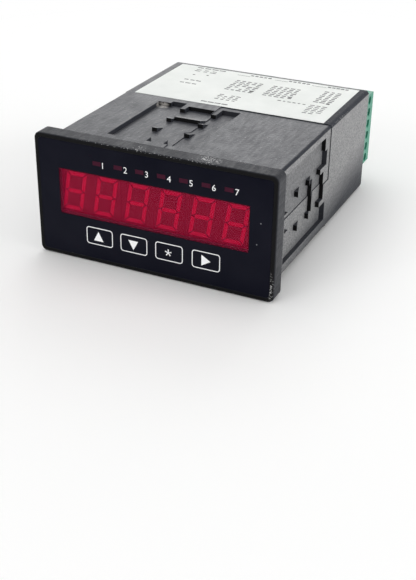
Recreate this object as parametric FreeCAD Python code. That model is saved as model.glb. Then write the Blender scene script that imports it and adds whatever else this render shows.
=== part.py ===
"""Digital panel meter with a 96 x 48 mm bezel, six digits, four keys and four plug-in cards.

Millimetres. X is to the right seen from the front, Y to the rear, Z up. The origin is the centre of the
panel seat, the plane where the bezel's back meets the panel.
"""

import FreeCAD
import Part
import math
import os

V = FreeCAD.Vector

# Case
bezel_width = 96.0
bezel_height = 48.0
bezel_depth = 7.0
bezel_corner = 2.5
bezel_front_edge = 0.7
bezel_back_edge = 0.3
sleeve_width = 89.6
sleeve_height = 43.0
sleeve_length = 102.0
sleeve_corner = 1.6
wall = 2.2
front_wall = 1.7

# Film and red window
film_rim = 1.7
film_corner = 1.4
film_thickness = 0.35
film_sink = 0.05
window_left_margin = 4.6
window_right_margin = 4.8
window_top_margin = 7.75
window_bottom_margin = 13.05
filter_flange = 1.0
filter_flange_thickness = 0.6
fit_gap = 0.1

# Display
digit_slant = 9.5
digit_space = 4.6
digit_margin = 1.3
segment_width = 1.5
segment_gap = 0.18
segment_depth = 0.3
module_count = 3
module_margin = 0.4
module_depth = 8.0
display_overhang = 0.95
display_shift = -0.4
display_drop = 0.15
board_thickness = 1.6
display_board_margin = 0.6

# Indicators
indicator_count = 7
indicator_left_margin = 16.05
indicator_right_margin = 7.85
indicator_top_margin = 3.35
indicator_width = 3.4
indicator_height = 1.7
guide_bar_thickness = 1.5
guide_bar_height = 3.0
led_height = 0.8

# Keys
key_count = 4
key_left_margin = 16.1
key_right_margin = 16.44
key_bottom_margin = 6.25
stem_radius = 1.75
stem_gap = 0.1
stem_engagement = 1.2
key_travel = 0.25
switch_size = 6.0
switch_height = 3.4
running_clearance = 0.05

# Clamp racks, one on each side of the sleeve
rack_front = 8.8
rack_depth = 1.6
rack_left_margin = 2.4
rack_right_margin = 6.1
rack_end = 52.6
channel_width = 5.3
channel_setback = 2.3
tooth_offset = 6.7
tooth_width = 2.2
tooth_pitch = 11.8
tooth_count = 3
tooth_ramp = 5.0
last_tooth_land = 6.6
middle_land = 2.8
end_ramp = 1.2
stop_rib_width = 1.0
stop_rib_offset = 3.45
stop_rib_end = 12.6
slide_step = 0.3
slide_margin = 2.9
rack_pad = 1.2
top_rack_x = -7.2
side_rack_z = -1.15
top_parting_x = -1.35
side_parting_z = -0.7

# Boards inside
post_size = 4.4
post_inset = 3.1
stack_gap = 7.5
stack_length = 30.0
stack_width = 5.0
stack_inset = 5.8
processor_board_margin = 2.1
socket_width = 5.0
socket_length = 8.5
socket_inset = 2.8
socket_slot_depth = 6.0
socket_end_wall = 2.0
card_clearance = 1.5
card_shoulder_gap = 1.5
rib_thickness = 1.0
rib_start = 27.0
rib_gap = 2.0
rib_bite = 1.2
processor_margin = 2.7
relay_width = 12.5
relay_length = 20.0
relay_y = 46.0
converter_size = (6.5, 19.0, 10.0)
converter_y = 44.0
converter_z = 7.0
chip_size = (2.3, 10.0, 7.5)
chip_y = 60.0
chip_z = 5.0
small_can_radius = 2.5
small_can_length = 5.0
small_can_y = (42.0, 54.0)
small_can_z = -9.0
core_start_gap = 4.6
core_end_gap = 3.5
core_inset = 4.8
core_yoke_share = 0.145
coil_overhang = 4.0
coil_clearance = 1.8
big_can_radius = 5.0
big_can_gap = 2.0
big_can_header_gap = 3.0
big_can_clearance = 4.8
big_can_z = 9.0
fuse_header_gap = 4.0
fuse_z = -9.5
fuse_radius = 2.6
fuse_length = 20.0
fuse_height = 6.0
clip_length = 5.0
clip_wall = 0.6

# Terminals
slot_names = ("a", "b", "c", "d")
power_poles = 3
pole_pitch = 5.08
first_terminal_margin = 4.4
last_terminal_margin = 13.6
header_top_gap = 0.26
header_foot = 6.26
header_width = 8.4
header_wall = 0.8
header_depth = 13.4
header_floor = 2.5
header_setback = 0.6
pin_width = 1.0
plug_width = 11.6
plug_block_length = 9.7
plug_gap = 0.3
plug_screw_radius = 1.6
plug_screw_sink = 0.7
cage_spacing = 1.28
cage_wall = 0.5
blade_thickness = 0.35
blade_reach = 6.9
entry_flare = 1.15
entry_flare_depth = 1.2

# Rear panel and label
panel_thickness = 2.0
tongue_height = 0.6
tongue_thickness = 0.8
panel_screw_radius = 1.1
panel_screw_head = 2.2
panel_screw_head_height = 1.3
panel_screw_length = 9.0
panel_boss_width = 6.0
label_left_margin = 4.5
label_right_margin = 3.6
label_front_gap = 0.2
label_rear_margin = 2.0
label_thickness = 0.12

# Planes along Y that follow from the sizes above
film_front = -bezel_depth + film_sink
film_back = film_front + film_thickness
wall_back = film_back + front_wall
module_front = wall_back + fit_gap
board_front = module_front + module_depth
board_back = board_front + board_thickness
processor_front = board_back + stack_gap
processor_back = processor_front + board_thickness
card_shoulder = processor_back + socket_length + card_shoulder_gap
panel_front = sleeve_length - panel_thickness
card_end = panel_front - fit_gap
header_end = sleeve_length - header_setback
header_start = header_end - header_depth
rib_end = header_start - rib_gap

# Inside of the sleeve, and the window and display centred in it
inner_width = sleeve_width - 2 * wall
inner_height = sleeve_height - 2 * wall
display_board_width = inner_width - 2 * display_board_margin
display_board_height = inner_height - 2 * display_board_margin
window_width = inner_width - window_left_margin - window_right_margin
window_height = inner_height - window_top_margin - window_bottom_margin
window_x = (window_left_margin - window_right_margin) / 2
window_z = (window_bottom_margin - window_top_margin) / 2
display_x = window_x + display_shift
display_z = window_z - display_drop
digit_pitch = (window_width + 2 * display_overhang) / (2 * module_count)
digit_height = window_height - 2 * digit_margin
digit_width = digit_pitch - digit_space
module_height = window_height - 2 * module_margin


def row(count, left_margin, right_margin):
    """Places across the window for a row of equal steps."""
    start = window_x - window_width / 2 + left_margin
    pitch = (window_width - left_margin - right_margin) / (count - 1)
    return [start + i * pitch for i in range(count)]


indicator_x = row(indicator_count, indicator_left_margin, indicator_right_margin)
indicator_z = inner_height / 2 - indicator_top_margin
key_x = row(key_count, key_left_margin, key_right_margin)
key_z = key_bottom_margin - inner_height / 2

# Clamp racks and label
rack_left = sleeve_height / 2 - rack_left_margin
rack_right = sleeve_height / 2 - rack_right_margin
channel_end = rack_end - channel_setback
tooth_reach = tooth_offset - tooth_width / 2
tooth_tips = [rack_end - last_tooth_land - i * tooth_pitch for i in range(tooth_count)]
slide_end = rack_end + slide_margin
label_front = slide_end + label_front_gap
label_rear = sleeve_length - label_rear_margin

# Cards and terminals, from the right
card_height = inner_height - 2 * card_clearance
socket_height = card_height - 2 * socket_inset
stack_z = inner_height / 2 - stack_inset
card_pitch = (inner_width - first_terminal_margin - last_terminal_margin) / (len(slot_names) - 1)
terminal_x = [inner_width / 2 - first_terminal_margin - i * card_pitch for i in range(len(slot_names))]
card_face_x = [x - header_width / 2 for x in terminal_x]
card_room = card_pitch - board_thickness
processor_size = card_pitch - socket_width - 2 * processor_margin
full_poles = int((inner_height - header_top_gap - header_foot - 2 * header_wall) / pole_pitch + 0.001)
pole_counts = (full_poles, full_poles, full_poles, power_poles)
top_pole_z = inner_height / 2 - header_top_gap - header_wall - pole_pitch / 2
lowest_pole_z = top_pole_z - (full_poles - 1) * pole_pitch
cage_size = pole_pitch - cage_spacing
panel_screw_x = [terminal_x[i] - (card_pitch + board_thickness) / 2 for i in (0, 2)]
panel_screw_z = (lowest_pole_z - pole_pitch / 2 - header_wall - inner_height / 2) / 2

# Parts of the power card, from the header forward
big_can_length = card_room - big_can_clearance
big_can_y = [header_start - big_can_header_gap - big_can_radius - i * (2 * big_can_radius + big_can_gap)
             for i in range(2)]
fuse_y = header_start - fuse_header_gap - fuse_length / 2
core_start = card_shoulder + core_start_gap
core_length = min(big_can_y) - big_can_radius - core_end_gap - core_start
core_yoke = core_length * core_yoke_share
core_leg = 2 * core_yoke
core_window = (core_length - core_leg - 2 * core_yoke) / 2
core_height = card_height - 2 * core_inset
coil_thickness = card_room - coil_clearance
core_thickness = coil_thickness - 2 * coil_overhang
transformer_y = core_start + core_length / 2


def box(x0, x1, y0, y1, z0, z1):
    """Box between two planes on each axis."""
    return Part.makeBox(x1 - x0, y1 - y0, z1 - z0, V(x0, y0, z0))


def block(cx, cz, width, height, y0, y1):
    """Box seen from the front as a rectangle centred on (cx, cz), from y0 back to y1."""
    return box(cx - width / 2, cx + width / 2, y0, y1, cz - height / 2, cz + height / 2)


def edges_along(solid, axis):
    """Straight edges of a solid that run along one axis."""
    found = []
    for edge in solid.Edges:
        direction = edge.tangentAt(edge.FirstParameter)
        if abs(abs(direction.dot(axis)) - 1) < 1e-6:
            found.append(edge)
    return found


def rounded_block(cx, cz, width, height, radius, y0, y1):
    """Block with its four edges along Y rounded."""
    solid = block(cx, cz, width, height, y0, y1)
    return solid.makeFillet(radius, edges_along(solid, V(0, 1, 0)))


def rim_at(solid, y):
    """Edges in the plane at y."""
    return [e for e in solid.Edges if abs(e.BoundBox.YMin - y) < 1e-6 and abs(e.BoundBox.YMax - y) < 1e-6]


def rod(cx, cz, radius, y0, y1):
    """Cylinder along Y."""
    return Part.makeCylinder(radius, y1 - y0, V(cx, y0, cz), V(0, 1, 0))


def side_rod(x0, x1, y, z, radius):
    """Cylinder along X."""
    return Part.makeCylinder(radius, x1 - x0, V(x0, y, z), V(1, 0, 0))


def prism(points, sweep):
    """Solid swept from a flat outline."""
    return Part.Face(Part.makePolygon(points + [points[0]])).extrude(sweep)


def fused(solids):
    """One solid from several that touch or overlap."""
    return solids[0].multiFuse(solids[1:]).removeSplitter()


def wedge(x0, x1, tip):
    """Saw tooth on the floor of a rack: a wall at the front, then a short slope down to the rear."""
    heel = V(x0, tip + tooth_ramp, -rack_depth)
    return prism([V(x0, tip, -rack_depth), V(x0, tip, 0), heel], V(x1 - x0, 0, 0))


def rear_slope(x0, x1):
    """Slope from a rack's floor up to its rear edge."""
    return prism([V(x0, rack_end - end_ramp, -rack_depth), V(x0, rack_end, 0), V(x0, rack_end, -rack_depth)],
                 V(x1 - x0, 0, 0))


def rack_pocket():
    """Pocket that the clamp racks cut, with the face at z = 0, across on X and to the rear on Y.

    What stays in the pocket are two rows of saw teeth for the clamp's hooks, with the last teeth joined to
    the rear wall, the wide tooth and the step between the rows, and two short ribs at the front.
    """
    floor = -rack_depth
    top = 1.0
    channel = box(-rack_left, channel_width - rack_left, rack_front, channel_end, floor, top)
    field = box(channel_width - rack_left, rack_right, rack_front, rack_end, floor, top)
    pocket = channel.fuse(field)
    kept = [wedge(-tooth_reach, tooth_reach, tooth_tips[1] + tooth_ramp / 2)]
    kept.append(box(-tooth_reach, tooth_reach, rack_end - middle_land, rack_end, floor, 0))
    for side in (-1, 1):
        x0 = side * tooth_offset - tooth_width / 2
        for tip in tooth_tips[1:]:
            kept.append(wedge(x0, x0 + tooth_width, tip))
        kept.append(box(x0, x0 + tooth_width, tooth_tips[0], rack_end, floor, 0))
        cx = side * stop_rib_offset
        kept.append(box(cx - stop_rib_width / 2, cx + stop_rib_width / 2, rack_front, stop_rib_end, floor, 0))
    kept.append(rear_slope(channel_width - rack_left, -tooth_reach - tooth_width))
    kept.append(rear_slope(tooth_reach + tooth_width, rack_right))
    return pocket.cut(Part.makeCompound(kept))


def place_on_side(shape, turn, offset, distance):
    """Lay a shape modelled on z = 0 onto one side of the sleeve, turned about Y."""
    placed = shape.copy()
    placed.translate(V(offset, 0, distance))
    placed.rotate(V(0, 0, 0), V(0, 1, 0), turn)
    return placed


def set_back_zone(width, parting, outward):
    """Space over the half of a side that the mould's slide forms, from the parting line outward."""
    x0 = parting if outward > 0 else parting - 2 * width
    return box(x0, x0 + 2 * width, 0, slide_end, -wall, 1.0)


def clamp_racks():
    """Cutter for all four racks and for the set-back left by the mould's slides."""
    pocket = rack_pocket()
    deeper = pocket.copy()
    deeper.translate(V(0, 0, -slide_step))
    cutters = []
    sides = ((0, top_rack_x, sleeve_height, sleeve_width, top_parting_x - top_rack_x, 1),
             (90, -side_rack_z, sleeve_width, sleeve_height, side_rack_z - side_parting_z, -1))
    for turn, offset, across, width, parting, outward in sides:
        zone = set_back_zone(width, parting, outward)
        skin = zone.common(box(-2 * width, 2 * width, 0, slide_end, -slide_step, 1.0))
        cutter = pocket.fuse(deeper.common(zone)).fuse(skin)
        for half in (0, 180):
            cutters.append(place_on_side(cutter, turn + half, offset, across / 2))
    return cutters


def make_case():
    """Bezel and sleeve, moulded as one."""
    bezel = rounded_block(0, 0, bezel_width, bezel_height, bezel_corner, -bezel_depth, 0)
    bezel = bezel.makeFillet(bezel_front_edge, rim_at(bezel, -bezel_depth))
    bezel = bezel.makeChamfer(bezel_back_edge, rim_at(bezel, 0))
    sleeve = rounded_block(0, 0, sleeve_width, sleeve_height, sleeve_corner, -1.0, sleeve_length)
    case = bezel.fuse(sleeve)
    cavity = block(0, 0, inner_width, inner_height, wall_back, sleeve_length + 1)
    case = case.cut(cavity)
    added = rack_pads() + guide_ribs() + display_posts() + panel_bosses()
    case = case.multiFuse(added)
    case = case.cut(clamp_racks())
    case = case.cut(front_openings() + screw_pilots() + [tongue_groove()])
    return case.removeSplitter()


def rack_pads():
    """Thicker wall behind each rack."""
    pads = []
    width = rack_left + rack_right + 2 * rack_pad
    middle = (rack_right - rack_left) / 2
    sides = ((0, top_rack_x, inner_height), (90, -side_rack_z, inner_width))
    for turn, offset, across in sides:
        pad = box(middle - width / 2, middle + width / 2, rack_front - rack_pad, rack_end + rack_pad,
                  -rack_pad, wall / 2)
        for half in (0, 180):
            pads.append(place_on_side(pad, turn + half, offset, across / 2))
    return pads


def guide_ribs():
    """Pairs of ribs on the top and bottom walls that hold the edges of the cards."""
    ribs = []
    tip = card_height / 2 - rib_bite
    for face in card_face_x:
        for x0 in (face + fit_gap, face - board_thickness - fit_gap - rib_thickness):
            ribs.append(box(x0, x0 + rib_thickness, rib_start, rib_end, tip, inner_height / 2 + wall / 2))
            ribs.append(box(x0, x0 + rib_thickness, rib_start, rib_end, -inner_height / 2 - wall / 2, -tip))
    return ribs


def display_posts():
    """Posts behind the front wall that the display board rests against."""
    posts = []
    for side in (-1, 1):
        for end in (-1, 1):
            cx = side * (inner_width / 2 - post_inset)
            cz = end * (inner_height / 2 - post_inset)
            posts.append(block(cx, cz, post_size, post_size, wall_back - front_wall / 2, board_front))
    return posts


def panel_bosses():
    """Blocks on the bottom wall for the rear panel's screws."""
    bosses = []
    top = panel_screw_z + panel_boss_width / 2
    for x in panel_screw_x:
        bosses.append(box(x - panel_boss_width / 2, x + panel_boss_width / 2, header_start, panel_front,
                          -inner_height / 2 - wall / 2, top))
    return bosses


def screw_pilots():
    """Blind holes for the rear panel's screws."""
    start = sleeve_length - panel_screw_length - fit_gap
    return [rod(x, panel_screw_z, panel_screw_radius + running_clearance, start, panel_front)
            for x in panel_screw_x]


def front_openings():
    """Recess for the film, window with its flange seat, indicator slots and key holes."""
    width = bezel_width - 2 * film_rim
    height = bezel_height - 2 * film_rim
    cuts = [rounded_block(0, 0, width, height, film_corner, -bezel_depth - 1, film_back)]
    cuts.append(block(window_x, window_z, window_width, window_height, -bezel_depth, wall_back + 1))
    seat = 2 * (filter_flange + fit_gap)
    cuts.append(block(window_x, window_z, window_width + seat, window_height + seat, -bezel_depth,
                      film_back + filter_flange_thickness))
    for x in indicator_x:
        cuts.append(block(x, indicator_z, indicator_width, indicator_height, -bezel_depth, wall_back + 1))
    for x in key_x:
        cuts.append(rod(x, key_z, stem_radius + 3 * fit_gap, -bezel_depth, wall_back + 1))
    return cuts


def tongue_groove():
    """Groove under the top wall that the rear panel's tongues enter."""
    y0 = panel_front + (panel_thickness - tongue_thickness) / 2 - fit_gap
    return box(-inner_width / 2, inner_width / 2, y0, y0 + tongue_thickness + 2 * fit_gap,
               inner_height / 2 - 1, inner_height / 2 + tongue_height + fit_gap)


def make_film():
    """Printed film, open at the red window and at the indicators."""
    width = bezel_width - 2 * film_rim - 2 * fit_gap
    height = bezel_height - 2 * film_rim - 2 * fit_gap
    film = rounded_block(0, 0, width, height, film_corner - fit_gap, film_front, film_back)
    cuts = [block(window_x, window_z, window_width, window_height, film_front - 1, film_back + 1)]
    for x in indicator_x:
        cuts.append(block(x, indicator_z, indicator_width, indicator_height, film_front - 1, film_back + 1))
    return film.cut(cuts)


def make_filter():
    """Red window: a pad flush with the film, and a flange behind the film."""
    pad = block(window_x, window_z, window_width - 2 * fit_gap, window_height - 2 * fit_gap,
                film_front, film_back + filter_flange_thickness)
    flange = block(window_x, window_z, window_width + 2 * filter_flange, window_height + 2 * filter_flange,
                   film_back, film_back + filter_flange_thickness)
    return pad.fuse(flange).removeSplitter()


def make_light_guide():
    """Seven light guides joined by a bar that lies against the front wall."""
    length = indicator_x[-1] - indicator_x[0] + 2 * indicator_width
    bar_x = (indicator_x[0] + indicator_x[-1]) / 2
    bar_back = wall_back + guide_bar_thickness
    pieces = [block(bar_x, indicator_z, length, guide_bar_height, wall_back, bar_back)]
    for x in indicator_x:
        pieces.append(block(x, indicator_z, indicator_width - fit_gap, indicator_height - fit_gap,
                            film_front, wall_back))
        pieces.append(block(x, indicator_z, indicator_width * 0.6, indicator_height,
                            bar_back, board_front - led_height - fit_gap))
    return fused(pieces)


def segment_outlines():
    """Outlines of the seven segments of an upright digit, as (x, z) points about its centre."""
    w = digit_width / 2
    h = digit_height / 2
    s = segment_width
    g = segment_gap
    top = [(-w + g, h), (w - g, h), (w - s - g, h - s), (-w + s + g, h - s)]
    upper_left = [(-w, h - g), (-w + s, h - s - g), (-w + s, s / 2 + g), (-w + s / 2, g), (-w, g)]
    middle = [(-w + s / 2 + g, 0), (-w + s + g, s / 2), (w - s - g, s / 2),
              (w - s / 2 - g, 0), (w - s - g, -s / 2), (-w + s + g, -s / 2)]
    outlines = [middle]
    for flip_z in (1, -1):
        outlines.append([(x, z * flip_z) for x, z in top])
        for flip_x in (1, -1):
            outlines.append([(x * flip_x, z * flip_z) for x, z in upper_left])
    return outlines


def make_segments(module):
    """Fourteen segments of one two-digit module."""
    lean = math.tan(math.radians(digit_slant))
    middle = display_x + (module - (module_count - 1) / 2) * 2 * digit_pitch
    solids = []
    for cx in (middle - digit_pitch / 2, middle + digit_pitch / 2):
        for outline in segment_outlines():
            points = [V(cx + x + z * lean, module_front, display_z + z) for x, z in outline]
            solids.append(prism(points, V(0, segment_depth, 0)))
    return Part.makeCompound(solids)


def make_module(module, segments):
    """Moulded body of a two-digit module, with the pockets that its segments fill."""
    cx = display_x + (module - (module_count - 1) / 2) * 2 * digit_pitch
    body = block(cx, display_z, 2 * digit_pitch - fit_gap, module_height, module_front, board_front)
    return body.cut(segments)


def make_display_board():
    """Display board, against the posts."""
    return block(0, 0, display_board_width, display_board_height, board_front, board_back)


def make_indicator_leds():
    """Seven surface-mounted indicator lamps."""
    return Part.makeCompound([block(x, indicator_z, indicator_width * 0.8, indicator_height,
                                    board_front - led_height, board_front) for x in indicator_x])


def make_switch_bodies():
    """Four key switch bodies, each with a square well for its stem."""
    bodies = []
    well_size = 2 * (stem_radius + running_clearance)
    well_end = board_front - switch_height + stem_engagement + 2 * key_travel
    for x in key_x:
        body = block(x, key_z, switch_size, switch_size, board_front - switch_height, board_front)
        well = block(x, key_z, well_size, well_size, board_front - switch_height - 1, well_end)
        bodies.append(body.cut(well))
    return Part.makeCompound(bodies)


def make_stem(x):
    """Key stem between the film and its switch."""
    return rod(x, key_z, stem_radius, film_back + stem_gap, board_front - switch_height + stem_engagement)


def make_stack_connectors():
    """Two connectors between the display board and the processor board."""
    return Part.makeCompound([block(0, side * stack_z, stack_length, stack_width, board_back, processor_front)
                              for side in (-1, 1)])


def make_processor_board():
    """Board that the cards plug into."""
    width = inner_width - 2 * processor_board_margin
    height = inner_height - 2 * processor_board_margin
    return block(0, 0, width, height, processor_front, processor_back)


def make_processor():
    """Flat square package between the first two sockets."""
    cx = card_face_x[0] - board_thickness / 2 - card_pitch / 2
    return block(cx, 0, processor_size, processor_size, processor_back, processor_back + board_thickness)


def make_sockets():
    """Four card sockets on the processor board, each with a slot for the card's front edge."""
    sockets = []
    for face in card_face_x:
        cx = face - board_thickness / 2
        body = block(cx, 0, socket_width, socket_height, processor_back, processor_back + socket_length)
        slot = block(cx, 0, board_thickness + 2 * running_clearance, socket_height - 2 * socket_end_wall,
                     processor_back + socket_length - socket_slot_depth, processor_back + socket_length + 1)
        sockets.append(body.cut(slot))
    return Part.makeCompound(sockets)


def make_card(face):
    """Plug-in card: the full height between the ribs, and a narrower front edge in its socket."""
    edge = processor_back + socket_length - socket_slot_depth + fit_gap
    wide = box(face - board_thickness, face, card_shoulder, card_end, -card_height / 2, card_height / 2)
    reach = socket_height / 2 - socket_end_wall - 2 * fit_gap
    narrow = box(face - board_thickness, face, edge, card_shoulder, -reach, reach)
    return wide.fuse(narrow).removeSplitter()


def pole_heights(count):
    """Heights of a terminal's poles, from the top pole down."""
    return [top_pole_z - i * pole_pitch for i in range(count)]


def terminal_middle(count):
    """Height of the middle of a terminal."""
    return top_pole_z - (count - 1) * pole_pitch / 2


def make_header(x, count):
    """Open shroud on a card, with a hole for each pin."""
    height = count * pole_pitch + 2 * header_wall
    middle = terminal_middle(count)
    shell = block(x, middle, header_width, height, header_start, header_end)
    cavity = block(x, middle, header_width - 2 * header_wall, height - 2 * header_wall,
                   header_start + header_floor, header_end + 1)
    hole = pin_width + 2 * running_clearance
    holes = [block(x, z, hole, hole, header_start - 1, header_start + header_floor + 1)
             for z in pole_heights(count)]
    return shell.cut([cavity] + holes)


def make_pins(x, face, count):
    """Bent pins: straight through the header's floor, then across to the card."""
    pins = []
    for z in pole_heights(count):
        straight = block(x, z, pin_width, pin_width, header_start - pin_width, header_end - 2 * header_wall)
        leg = box(face, x, header_start - pin_width, header_start, z - pin_width / 2, z + pin_width / 2)
        pins.append(fused([straight, leg]))
    return Part.makeCompound(pins)


def cage_centre(x):
    """Where the wire clamps of the plug at x sit, as (x, y), so that their blades lie beside the pins."""
    blade_outside = x + pin_width / 2 + running_clearance + blade_thickness
    return blade_outside - cage_size / 2, sleeve_length + plug_gap + plug_block_length / 2


def make_plug(x, count):
    """Pluggable terminal body with wire entries, screw holes and pin sockets."""
    block_start = sleeve_length + plug_gap
    block_end = block_start + plug_block_length
    height = count * pole_pitch
    middle = terminal_middle(count)
    tongue_front = header_start + header_floor + plug_gap
    body = block(x, middle, plug_width, height, block_start, block_end)
    tongue = block(x, middle, header_width - 2 * header_wall - 2 * plug_gap, height - 2 * plug_gap,
                   tongue_front, block_start)
    cage_x, cage_y = cage_centre(x)
    room = cage_size + 2 * running_clearance
    cuts = []
    for z in pole_heights(count):
        cuts.append(block(cage_x, z, room, room, cage_y - room / 2, block_end))
        cuts.append(wire_funnel(cage_x, z, room, block_end))
        cuts.append(side_rod(cage_x, x + plug_width, cage_y, z, plug_screw_radius + fit_gap))
        cuts.append(box(x - pin_width / 2 - fit_gap, cage_x + room / 2, tongue_front - 1, cage_y,
                        z - pin_width / 2 - fit_gap, z + pin_width / 2 + fit_gap))
    return body.fuse(tongue).cut(cuts).removeSplitter()


def wire_funnel(cx, cz, size, mouth):
    """Flared entry that guides a wire in."""
    def square(half, y):
        corners = [V(cx - half, y, cz - half), V(cx + half, y, cz - half),
                   V(cx + half, y, cz + half), V(cx - half, y, cz + half)]
        return Part.makePolygon(corners + [corners[0]])
    start = mouth - entry_flare_depth
    return Part.makeLoft([square(size / 2, start), square(size / 2 * entry_flare, mouth)], True)


def make_plug_screws(x, count):
    """Clamp screws that stand on the cages, reached from the plug's right side."""
    cage_x, cage_y = cage_centre(x)
    head_end = x + plug_width / 2 - plug_screw_sink
    return Part.makeCompound([side_rod(cage_x + cage_size / 2, head_end, cage_y, z, plug_screw_radius)
                              for z in pole_heights(count)])


def make_plug_clamps(x, count):
    """Cages that the screws close on the wires, each with its contact blade beside the pin."""
    cages = []
    cage_x, cage_y = cage_centre(x)
    right = cage_x + cage_size / 2
    inner = cage_size - 2 * cage_wall
    front = cage_y - cage_size / 2
    for z in pole_heights(count):
        cage = block(cage_x, z, cage_size, cage_size, front, front + cage_size)
        bore = block(cage_x, z, inner, inner, front - 1, front + cage_size + 1)
        blade = box(right - blade_thickness, right, front - blade_reach, front,
                    z - pin_width / 2, z + pin_width / 2)
        cages.append(cage.cut(bore).fuse(blade).removeSplitter())
    return Part.makeCompound(cages)


def make_rear_panel():
    """Rear panel: a comb that closes the spaces between the headers."""
    panel = block(0, 0, inner_width - 2 * fit_gap, inner_height - 2 * fit_gap, panel_front, sleeve_length)
    y0 = panel_front + (panel_thickness - tongue_thickness) / 2
    tongue = box(-inner_width / 2 + 1, inner_width / 2 - 1, y0, y0 + tongue_thickness,
                 inner_height / 2 - 2 * fit_gap, inner_height / 2 + tongue_height)
    cuts = []
    for x, count in zip(terminal_x, pole_counts):
        foot = pole_heights(count)[-1] - pole_pitch / 2 - header_wall - fit_gap
        cuts.append(box(x - header_width / 2 - fit_gap, x + header_width / 2 + fit_gap, panel_front - 1,
                        sleeve_length + 1, foot, inner_height))
    for x in panel_screw_x:
        cuts.append(rod(x, panel_screw_z, panel_screw_radius + 2 * fit_gap, panel_front - 1,
                        sleeve_length + 1))
    return panel.fuse(tongue).cut(cuts).removeSplitter()


def make_panel_screws():
    """Two screws at the foot of the rear panel."""
    screws = []
    for x in panel_screw_x:
        head = rod(x, panel_screw_z, panel_screw_head, sleeve_length, sleeve_length + panel_screw_head_height)
        shank = rod(x, panel_screw_z, panel_screw_radius, sleeve_length - panel_screw_length, sleeve_length)
        screws.append(head.fuse(shank))
    return Part.makeCompound(screws)


def make_label():
    """Wiring label on the top of the sleeve."""
    return box(label_left_margin - sleeve_width / 2, sleeve_width / 2 - label_right_margin,
               label_front, label_rear, sleeve_height / 2, sleeve_height / 2 + label_thickness)


def standing_box(face, length, y, z, along, high):
    """Box that stands on the right face of a card."""
    return box(face, face + length, y - along / 2, y + along / 2, z - high / 2, z + high / 2)


def make_relays(face):
    """Two relays one above the other on an output card."""
    height = card_height * 0.42
    return Part.makeCompound([standing_box(face, relay_width, relay_y, side * card_height * 0.23,
                                           relay_length, height) for side in (-1, 1)])


def standing_cans(face, length, radius, places, z):
    """Round capacitors that stand on the right face of a card."""
    return [side_rod(face, face + length, y, z, radius) for y in places]


def make_input_components():
    """Isolating converter, converter chip and two capacitors of the input card."""
    face = card_face_x[0]
    solids = standing_cans(face, small_can_length, small_can_radius, small_can_y, small_can_z)
    for size, y, z in ((converter_size, converter_y, converter_z), (chip_size, chip_y, chip_z)):
        solids.append(standing_box(face, size[0], y, z, size[1], size[2]))
    return Part.makeCompound(solids)


def make_transformer_core():
    """Stacked core with a middle leg and two windows."""
    start = card_face_x[3] + (coil_thickness - core_thickness) / 2
    core = box(start, start + core_thickness, core_start, core_start + core_length,
               -core_height / 2, core_height / 2)
    cuts = []
    for side in (-1, 1):
        middle = transformer_y + side * (core_leg + core_window) / 2
        cuts.append(box(start - 1, start + core_thickness + 1, middle - core_window / 2,
                        middle + core_window / 2, core_yoke - core_height / 2, core_height / 2 - core_yoke))
    return core.cut(cuts)


def make_transformer_coil():
    """Winding round the core's middle leg, standing on the power card."""
    face = card_face_x[3]
    length = core_leg + 2 * core_window - 2 * fit_gap
    height = core_height - 2 * core_yoke - 2 * fit_gap
    coil = box(face, face + coil_thickness, transformer_y - length / 2, transformer_y + length / 2,
               -height / 2, height / 2)
    coil = coil.makeChamfer(core_window / 4, edges_along(coil, V(0, 0, 1)))
    start = face + (coil_thickness - core_thickness) / 2
    leg = box(start - fit_gap, start + core_thickness + fit_gap, transformer_y - core_leg / 2 - fit_gap,
              transformer_y + core_leg / 2 + fit_gap, -core_height, core_height)
    return coil.cut(leg)


def make_filter_capacitors():
    """Two electrolytic capacitors on the power card."""
    cans = standing_cans(card_face_x[3], big_can_length, big_can_radius, big_can_y, big_can_z)
    return Part.makeCompound(cans)


def make_fuse():
    """Glass fuse with a cap at each end."""
    x = card_face_x[3] + fuse_height
    return rod(x, fuse_z, fuse_radius, fuse_y - fuse_length / 2, fuse_y + fuse_length / 2)


def make_fuse_clips():
    """Two spring clips that hold the fuse."""
    face = card_face_x[3]
    clips = []
    inside = fuse_radius + running_clearance
    for side in (-1, 1):
        y = fuse_y + side * (fuse_length - clip_length) / 2
        outer = box(face, face + fuse_height, y - clip_length / 2, y + clip_length / 2,
                    fuse_z - inside - clip_wall, fuse_z + inside + clip_wall)
        hollow = box(face + clip_wall, face + fuse_height + 1, y - clip_length, y + clip_length,
                     fuse_z - inside, fuse_z + inside)
        clips.append(outer.cut(hollow))
    return Part.makeCompound(clips)


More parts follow.
